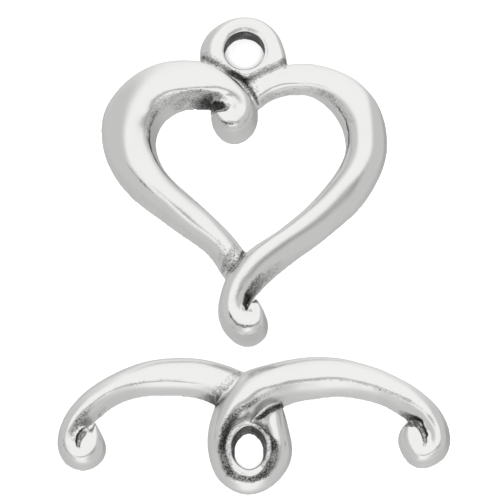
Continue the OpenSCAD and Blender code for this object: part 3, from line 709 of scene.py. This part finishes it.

# Lines of tarnish, and lines of painted reflection and painted shade, in millimetres from the middle of the
# clasp: x, y, reach, strength
barTarnishAndPaintedReflections = [
    # band on the strand round the eye: a painted reflection of the dark slit
    [(1.78, -9.09, 0.12, 0.50), (1.08, -9.46, 0.17, 0.62), (0.37, -9.84, 0.22, 0.66),
     (-0.29, -10.32, 0.27, 0.74), (-0.77, -10.60, 0.32, 0.78), (-1.16, -10.83, 0.46, 0.82),
     (-1.42, -11.17, 0.52, 0.90), (-1.66, -11.55, 0.54, 0.90), (-1.81, -11.93, 0.54, 0.90),
     (-1.94, -12.56, 0.53, 0.90), (-1.97, -13.08, 0.53, 0.90), (-1.85, -13.55, 0.53, 0.88),
     (-1.72, -13.93, 0.52, 0.88), (-1.48, -14.35, 0.50, 0.93), (-1.12, -14.60, 0.42, 0.90),
     (-0.70, -14.71, 0.38, 0.93), (-0.16, -14.77, 0.38, 0.93), (0.32, -14.65, 0.36, 0.90),
     (0.74, -14.42, 0.46, 0.90), (1.02, -14.02, 0.52, 0.90), (1.22, -13.51, 0.55, 0.90),
     (1.28, -13.03, 0.55, 0.90), (1.23, -12.55, 0.46, 0.86), (1.05, -12.13, 0.18, 0.80),
     (0.79, -11.83, 0.20, 0.88), (0.49, -11.42, 0.30, 0.85), (0.14, -10.98, 0.34, 0.80)],
    # darkest part of the band of painted reflection, beside the eye
    [(-1.42, -11.23, 0.12, 1.00), (-1.55, -11.52, 0.12, 1.00), (-1.68, -11.82, 0.10, 0.95),
     (-1.81, -12.21, 0.10, 0.95), (-1.89, -12.61, 0.10, 0.95), (-1.93, -13.12, 0.10, 0.95),
     (-1.78, -13.57, 0.10, 0.90)],
    # the rim of the eye, a little grey
    [(0.20, -11.41, 0.20, 0.50), (0.52, -11.69, 0.22, 0.56), (0.80, -12.19, 0.26, 0.62),
     (0.86, -12.85, 0.28, 0.62), (0.80, -13.45, 0.28, 0.62), (0.56, -13.93, 0.26, 0.52)],
    [(-0.64, -11.29, 0.22, 0.52), (-1.17, -11.43, 0.24, 0.58), (-1.48, -11.83, 0.26, 0.62),
     (-1.60, -12.31, 0.28, 0.64), (-1.60, -12.91, 0.28, 0.64), (-1.54, -13.39, 0.28, 0.60),
     (-1.41, -13.87, 0.26, 0.54)],
    # under the right arm, above the eye; the first line is painted shade in the crevice under the arm
    [(0.13, -10.93, 0.24, 0.85), (0.60, -10.69, 0.36, 1.00), (1.04, -10.39, 0.42, 1.00),
     (1.42, -10.13, 0.38, 0.92), (1.71, -9.86, 0.26, 1.00)],
    [(-0.64, -11.40, 0.10, 0.60), (-0.24, -11.32, 0.10, 0.75), (0.16, -11.44, 0.10, 0.80),
     (0.45, -11.63, 0.10, 0.85)],
    [(1.77, -10.14, 0.07, 0.80), (1.89, -10.69, 0.07, 0.70), (2.05, -11.35, 0.07, 0.60),
     (2.23, -11.89, 0.07, 0.40)],
    # where the strand leaves the left arm
    [(-3.56, -9.22, 0.25, 0.50), (-2.99, -9.38, 0.32, 0.75), (-2.59, -9.58, 0.32, 0.90),
     (-2.30, -9.91, 0.26, 1.00)],
    [(-2.30, -9.59, 0.26, 0.84), (-2.00, -9.28, 0.30, 0.70), (-1.54, -8.89, 0.30, 0.64),
     (-1.14, -8.31, 0.26, 0.56), (-0.90, -7.89, 0.16, 0.60)],
    [(-2.53, -9.52, 0.60, 0.60), (-2.08, -9.19, 0.70, 0.56), (-1.60, -8.65, 0.60, 0.52),
     (-1.12, -8.12, 0.40, 0.46)],
    # left scroll: dark arc, the face beside it, and the rough strand above
    [(-10.40, -11.51, 0.10, 0.85), (-10.60, -11.60, 0.12, 0.95), (-10.77, -11.77, 0.14, 1.00),
     (-10.95, -12.07, 0.14, 1.05), (-11.01, -12.43, 0.13, 1.05), (-10.95, -12.72, 0.10, 0.90)],
    [(-10.49, -11.65, 0.22, 0.50), (-10.67, -11.89, 0.24, 0.52), (-10.73, -12.31, 0.20, 0.52),
     (-10.73, -12.67, 0.12, 0.50)],
    [(-9.83, -9.95, 0.16, 0.45), (-10.14, -10.31, 0.30, 0.56), (-10.41, -10.70, 0.42, 0.62),
     (-10.68, -11.03, 0.48, 0.64), (-11.02, -11.40, 0.44, 0.62), (-11.21, -11.83, 0.30, 0.58),
     (-11.19, -12.32, 0.22, 0.46)],
    [(-9.85, -11.16, 0.10, 0.70), (-9.58, -10.44, 0.09, 0.60), (-9.17, -10.02, 0.08, 0.50)],
    # dark arc on the left of the scroll: a painted reflection of the dark slit
    [(-11.82, -12.25, 0.08, 0.50), (-11.75, -12.67, 0.10, 0.60), (-11.57, -13.03, 0.10, 0.55),
     (-11.26, -13.33, 0.09, 0.45)],
    # right scroll: the two dark arcs, painted reflections of the dark slit, and the face between them
    [(9.02, -10.27, 0.13, 0.60), (9.43, -10.52, 0.20, 0.85), (9.72, -10.71, 0.22, 1.00),
     (10.06, -10.85, 0.15, 1.00), (10.37, -11.08, 0.14, 1.00), (10.56, -11.56, 0.14, 1.00),
     (10.72, -11.96, 0.14, 0.95), (10.64, -12.25, 0.10, 0.80), (10.52, -12.61, 0.07, 0.60)],
    [(9.55, -11.16, 0.10, 0.90), (9.85, -10.94, 0.08, 0.75), (10.10, -11.31, 0.08, 0.80),
     (10.28, -11.65, 0.09, 0.85), (10.41, -12.07, 0.09, 0.85), (10.52, -12.43, 0.07, 0.80)],
    [(9.55, -10.70, 0.20, 0.85), (9.90, -10.89, 0.18, 0.52), (10.27, -11.25, 0.18, 0.48),
     (10.45, -11.54, 0.18, 0.50), (10.57, -12.01, 0.14, 0.60)],
    # soft line along the lower edge of each arm: a painted reflection of the dark slit
    [(0.50, -9.37, 0.12, 0.40), (1.14, -9.16, 0.16, 0.48), (2.05, -8.82, 0.20, 0.52),
     (3.32, -8.59, 0.17, 0.50), (4.70, -8.47, 0.14, 0.46), (6.02, -8.53, 0.18, 0.52),
     (7.28, -8.88, 0.22, 0.55), (8.54, -9.36, 0.22, 0.56), (9.64, -9.89, 0.20, 0.54),
     (10.40, -10.39, 0.14, 0.44)],
    [(-9.46, -9.67, 0.14, 0.36), (-8.50, -9.12, 0.17, 0.46), (-7.60, -8.82, 0.17, 0.50),
     (-6.52, -8.53, 0.17, 0.50), (-5.44, -8.41, 0.15, 0.46), (-4.31, -8.47, 0.12, 0.36)],
]

eyeLook = {
    "centre": (-0.06, 2.75),
    "shoulder": 0.85,        # share of the height where the round crown starts
    "roundness": 0.8,        # 1 is an ellipse, less is fuller
    "sections": 96,          # all the way round
    "evening": 9,            # sections that are averaged
    "arcPoints": 24,
}

barLook = {
    "place": (-0.25, -15.52),     # of the middle of the bar's lower edge, from the middle of the clasp
    "parts": [9, 26, 38, 56],     # rows where the strand is parted, at the scrolls and the crossing
    "plugs": [
        (10.78, 2.95, 0.50, 1.30), (10.72, 3.45, 0.50, 1.30), (10.40, 3.95, 0.45, 1.30),
        (-10.62, 2.85, 0.50, 1.30), (-10.60, 3.35, 0.50, 1.30), (-10.35, 3.80, 0.45, 1.30),
        (0.60, 4.60, 0.60, 0.90), (10.01, 4.52, 0.24, 0.45),
    ],
    "melts": [(10.70, 3.20, 1.1), (-10.60, 3.10, 1.1), (0.45, 4.75, 0.85)],
    "creases": [
        [(9.70, 4.22, 0.12, 0.5), (10.00, 4.26, 0.20, 0.5), (10.31, 4.26, 0.22, 0.45),
         (10.59, 3.97, 0.22, 0.4), (10.78, 3.54, 0.20, 0.35), (10.84, 3.11, 0.14, 0.25),
         (10.76, 2.72, 0.06, 0.05)],
        [(-10.12, 3.80, 0.10, 0.12), (-10.30, 3.65, 0.20, 0.4), (-10.55, 3.28, 0.18, 0.35),
         (-10.64, 2.92, 0.14, 0.25), (-10.56, 2.60, 0.06, 0.05)],
    ],
    "holes": [(-0.31, -12.77, 1.24, 1.55)],
    "tarnishAndPaintedReflections": barTarnishAndPaintedReflections,
}

barShells = partedShells(np.vstack([leftArm, rightArm[1:]]), barLook["parts"])
barShells += [ringShell(eyeRing, eyeLook)]
barShells += [plugShell(*plug) for plug in barLook["plugs"]]
bar = cast("toggleBar", barShells, barLook)

silverLook = {
    "silver": (0.80, 0.80, 0.79, 1),
    # colour of the patina and tarnish, also put on the painted reflections and painted shade
    "dark": (0.035, 0.033, 0.032, 1),
    "hollowShare": 0.6,           # how dark a hollow gets by itself
    # how much darker the upright walls are: partly patina, partly painted shade on the sides
    "wallDarkness": 0.12,
    "wallPatches": (1.2, -0.1),   # strength and start of the patches on the walls
    "roughness": 0.17,
    "darkRoughness": 0.5,
    "grain": 10.0,                # grains to the millimetre
    "grainDetail": (4.0, 0.6),    # finer layers in the grain, and how strong they are
    "cloud": 9,                   # grains across one soft cloud
    "cloudDetail": (3.0, 0.5),
    "clouding": 0.6,              # how much the clouds shift the darkness
    "speckle": 2.0,               # how much the grain does
    "calming": 0.55,              # how much of the speckle the darkest lines lose, painted reflections and shade among them
    "darkFrom": (0.35, 1.1),      # darkness where the dark colour starts and is full
    "cleanBelow": (0.08, 0.45),   # below the first the metal is clean
    "bump": 0.024,                # height of the grain in millimetres
    "cleanBump": 0.35,            # share of it on clean faces
}


def addNode(tree, kind, inputs=None, **settings):
    # New node; an input is either another node's socket, which is linked, or a fixed value
    node = tree.nodes.new("ShaderNode" + kind)
    for key, value in settings.items():
        setattr(node, key, value)
    for key, value in (inputs or {}).items():
        if isinstance(value, bpy.types.NodeSocket):
            tree.links.new(value, node.inputs[key])
        else:
            node.inputs[key].default_value = value
    return node


def mathNode(tree, operation, *values, clamp=False):
    # One step of arithmetic. MULTIPLY_ADD is the first value times the second plus the third
    return addNode(tree, "Math", dict(enumerate(values)), operation=operation, use_clamp=clamp).outputs[0]


def rampNode(tree, value, low, high, start=0.0, end=1.0, kind="SMOOTHSTEP"):
    # Goes from start to end while the value goes from low to high
    ends = {"Value": value, "From Min": low, "From Max": high, "To Min": start, "To Max": end}
    return addNode(tree, "MapRange", ends, interpolation_type=kind).outputs["Result"]


def noiseNode(tree, place, scale, detail, roughness):
    # Noise round 0.5, with its scale in grains to the metre
    noise = {"Vector": place, "Scale": scale, "Detail": detail, "Roughness": roughness}
    return addNode(tree, "TexNoise", noise).outputs["Fac"]


def silverMaterial(look):
    # Bright silver that turns dark with the marks of the skin, which carry patina, tarnish and painted
    # reflections and shade, and rougher on walls and in tarnish
    material = bpy.data.materials.new("antiqueSilver")
    material.use_nodes = True
    tree = material.node_tree
    shader = tree.nodes["Principled BSDF"]
    place = addNode(tree, "TexCoord").outputs["Object"]
    marks = addNode(tree, "Attribute", attribute_name="marks").outputs["Vector"]
    hollow, wall, tarnishAndPaintedReflections = addNode(tree, "SeparateXYZ", {0: marks}).outputs
    perMetre = look["grain"] / mm
    fine = noiseNode(tree, place, perMetre, *look["grainDetail"])
    broad = noiseNode(tree, place, perMetre / look["cloud"], *look["cloudDetail"])

    # darkness: patina in the hollows, tarnish, and painted reflections and shade, broken up by the grain
    depth = mathNode(tree, "MAXIMUM", mathNode(tree, "MULTIPLY", hollow, look["hollowShare"]), tarnishAndPaintedReflections)
    speckle = mathNode(tree, "MULTIPLY_ADD", depth, -look["speckle"] * look["calming"], look["speckle"])
    grainy = mathNode(tree, "MULTIPLY_ADD", mathNode(tree, "SUBTRACT", fine, 0.5), speckle, depth)
    uneven = mathNode(tree, "MULTIPLY_ADD", mathNode(tree, "SUBTRACT", broad, 0.5), look["clouding"], grainy)
    mask = rampNode(tree, uneven, *look["darkFrom"])
    gate = rampNode(tree, depth, *look["cleanBelow"])
    patinaAndPaintedReflections = mathNode(tree, "MULTIPLY", mask, gate, clamp=True)
    # upright walls a little darker in patches: partly patina, partly painted shade on the sides
    patches = mathNode(tree, "MULTIPLY_ADD", broad, *look["wallPatches"], clamp=True)
    side = mathNode(tree, "MULTIPLY", wall, patches, clamp=True)
    side = mathNode(tree, "MULTIPLY", side, look["wallDarkness"])
    total = mathNode(tree, "MAXIMUM", patinaAndPaintedReflections, side, clamp=True)
    colour = addNode(tree, "Mix", {"Factor": total, 6: look["silver"], 7: look["dark"]}, data_type="RGBA")
    tree.links.new(colour.outputs[2], shader.inputs["Base Color"])

    # walls and dark places: rougher, and their grain stands higher
    shader.inputs["Metallic"].default_value = 1.0
    matt = mathNode(tree, "MAXIMUM", patinaAndPaintedReflections, wall)
    rough = rampNode(tree, matt, 0.0, 1.0, look["roughness"], look["darkRoughness"], "LINEAR")
    tree.links.new(rough, shader.inputs["Roughness"])
    lift = mathNode(tree, "MULTIPLY_ADD", matt, 1 - look["cleanBump"], look["cleanBump"])
    lift = mathNode(tree, "MULTIPLY", fine, lift)
    bump = addNode(tree, "Bump", {"Height": lift, "Distance": look["bump"] * mm, "Strength": 1.0})
    tree.links.new(bump.outputs["Normal"], shader.inputs["Normal"])
    return material


silver = silverMaterial(silverLook)
for piece, node in ((heart, "heart_ring"), (bar, "toggle_bar")):
    piece.data.materials.clear()
    piece.data.materials.append(silver)
    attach(piece, "root")
    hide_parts(node)
print("both castings are silver")

studio = {
    "elevation": 72,          # of the camera above the floor, in degrees
    "distance": 0.5,          # metres
    "aim": (-0.25, 0.436),    # millimetres, on the floor
    "frameWidth": 31.25,      # millimetres seen across the picture
    "sensor": 36,
    "clip": (0.01, 10),       # metres
    "arch": 1.08,             # brightness of the white arch overhead
    "sides": 0.67,            # brightness left and right of it
    "archHalf": 0.68,         # half width of the arch, as the sine of the angle
    "archBack": 0.98,         # its reach to the back and to the front, the same way
    "archFront": 1.37,
    "archMiddle": 0.12,
    "archSoft": 0.18,
    "fade": (-0.70, 0.0),     # sine of the angle to the horizon where the arch ends and starts to fade
    "slitHalf": 0.20,         # half width of the dark slit through the arch, as a sine
    "slitSoft": 0.15,
    "slitDark": 0.55,
    "slitMiddle": 0.24,       # middle of the slit from left to right, as a sine
    "slitLong": 0.50,         # half length of the slit
    "slitFade": 0.12,
    "fillSize": 0.3,          # metres
    "fillDistance": 0.7,      # metres from the clasp, on the camera's side
    "fillPower": 4.0,
    "floorHalf": 1.0,         # metres
    "floor": (0.95, 0.95, 0.95, 1),
    "floorRoughness": 0.9,
}


def lookBack(look):
    # Unit vector from the clasp to the camera
    rise = np.radians(look["elevation"])
    return Vector((0, -np.cos(rise), np.sin(rise)))


def turnToClasp(obj, back):
    # Its own -Z points down at the clasp
    obj.rotation_mode = "QUATERNION"
    obj.rotation_quaternion = (-back).to_track_quat("-Z", "Y")


def addCamera(look):
    # The lens is as long as the distance needs for the wanted width
    camera = bpy.data.cameras.new("camera")
    camera.sensor_width = look["sensor"]
    camera.lens = look["sensor"] * look["distance"] / (look["frameWidth"] * mm)
    camera.clip_start, camera.clip_end = look["clip"]
    obj = addObject("camera", camera)
    back = lookBack(look)
    obj.location = Vector((look["aim"][0] * mm, look["aim"][1] * mm, 0)) + back * look["distance"]
    turnToClasp(obj, back)
    bpy.context.scene.camera = obj


def addFloor(look):
    # Plain pale square; the metal doesn't mirror it
    half = look["floorHalf"]
    mesh = bpy.data.meshes.new("floor")
    corners = [(-half, -half, 0), (half, -half, 0), (half, half, 0), (-half, half, 0)]
    mesh.from_pydata(corners, [], [(0, 1, 2, 3)])
    material = bpy.data.materials.new("floor")
    material.use_nodes = True
    shader = material.node_tree.nodes["Principled BSDF"]
    shader.inputs["Base Color"].default_value = look["floor"]
    shader.inputs["Roughness"].default_value = look["floorRoughness"]
    mesh.materials.append(material)
    floor = addObject("floor", mesh)
    floor.visible_glossy = False


def addWorld(look):
    # White arch of light over the clasp: it is full where x and y of the direction lie inside
    # an oval, and fades with z below the horizon, with grey all round it. A dark slit
    # crosses it from left to right where the camera stands
    world = bpy.data.worlds.new("studio")
    bpy.context.scene.world = world
    world.use_nodes = True
    tree = world.node_tree
    x, y, z = addNode(tree, "SeparateXYZ", {0: addNode(tree, "TexCoord").outputs["Generated"]}).outputs

    def math(operation, *values):
        return mathNode(tree, operation, *values)

    across = math("DIVIDE", math("ABSOLUTE", x), look["archHalf"])
    along = math("ADD", y, -look["archMiddle"])
    behind = math("DIVIDE", along, look["archBack"])
    before = math("DIVIDE", along, -look["archFront"])
    along = math("MAXIMUM", behind, before)
    oval = math("ADD", math("MULTIPLY", across, across), math("MULTIPLY", along, along))
    arch = rampNode(tree, math("SQRT", oval), 1 - look["archSoft"], 1 + look["archSoft"], 1.0, 0.0)
    white = math("MULTIPLY", arch, rampNode(tree, z, *look["fade"]))
    level = rampNode(tree, white, 0.0, 1.0, look["sides"], look["arch"], "LINEAR")

    tilt = np.radians(90 - look["elevation"])
    away = math("ABSOLUTE", math("MULTIPLY_ADD", z, np.sin(tilt), math("MULTIPLY", y, np.cos(tilt))))
    slit = rampNode(tree, away, look["slitHalf"] - look["slitSoft"], look["slitHalf"] + look["slitSoft"],
                    1 - look["slitDark"], 1.0)
    beside = math("ABSOLUTE", math("SUBTRACT", x, look["slitMiddle"]))
    beside = rampNode(tree, beside, look["slitLong"] - look["slitFade"], look["slitLong"] + look["slitFade"])
    level = math("MULTIPLY", level, math("MAXIMUM", slit, beside))
    background = tree.nodes["Background"].inputs
    background["Color"].default_value = (1, 1, 1, 1)
    tree.links.new(level, background["Strength"])


def addFill(look):
    # Soft light from the camera's side that whitens the floor; the metal doesn't mirror it
    light = bpy.data.lights.new("fill", "AREA")
    light.shape = "DISK"
    light.size = look["fillSize"]
    light.energy = look["fillPower"]
    obj = addObject("fill", light)
    back = lookBack(look)
    obj.location = back * look["fillDistance"]
    turnToClasp(obj, back)
    obj.visible_camera = False
    obj.visible_glossy = False


addCamera(studio)
addFloor(studio)
addWorld(studio)
addFill(studio)
bpy.context.scene.view_settings.view_transform = "Standard"
print("studio set")
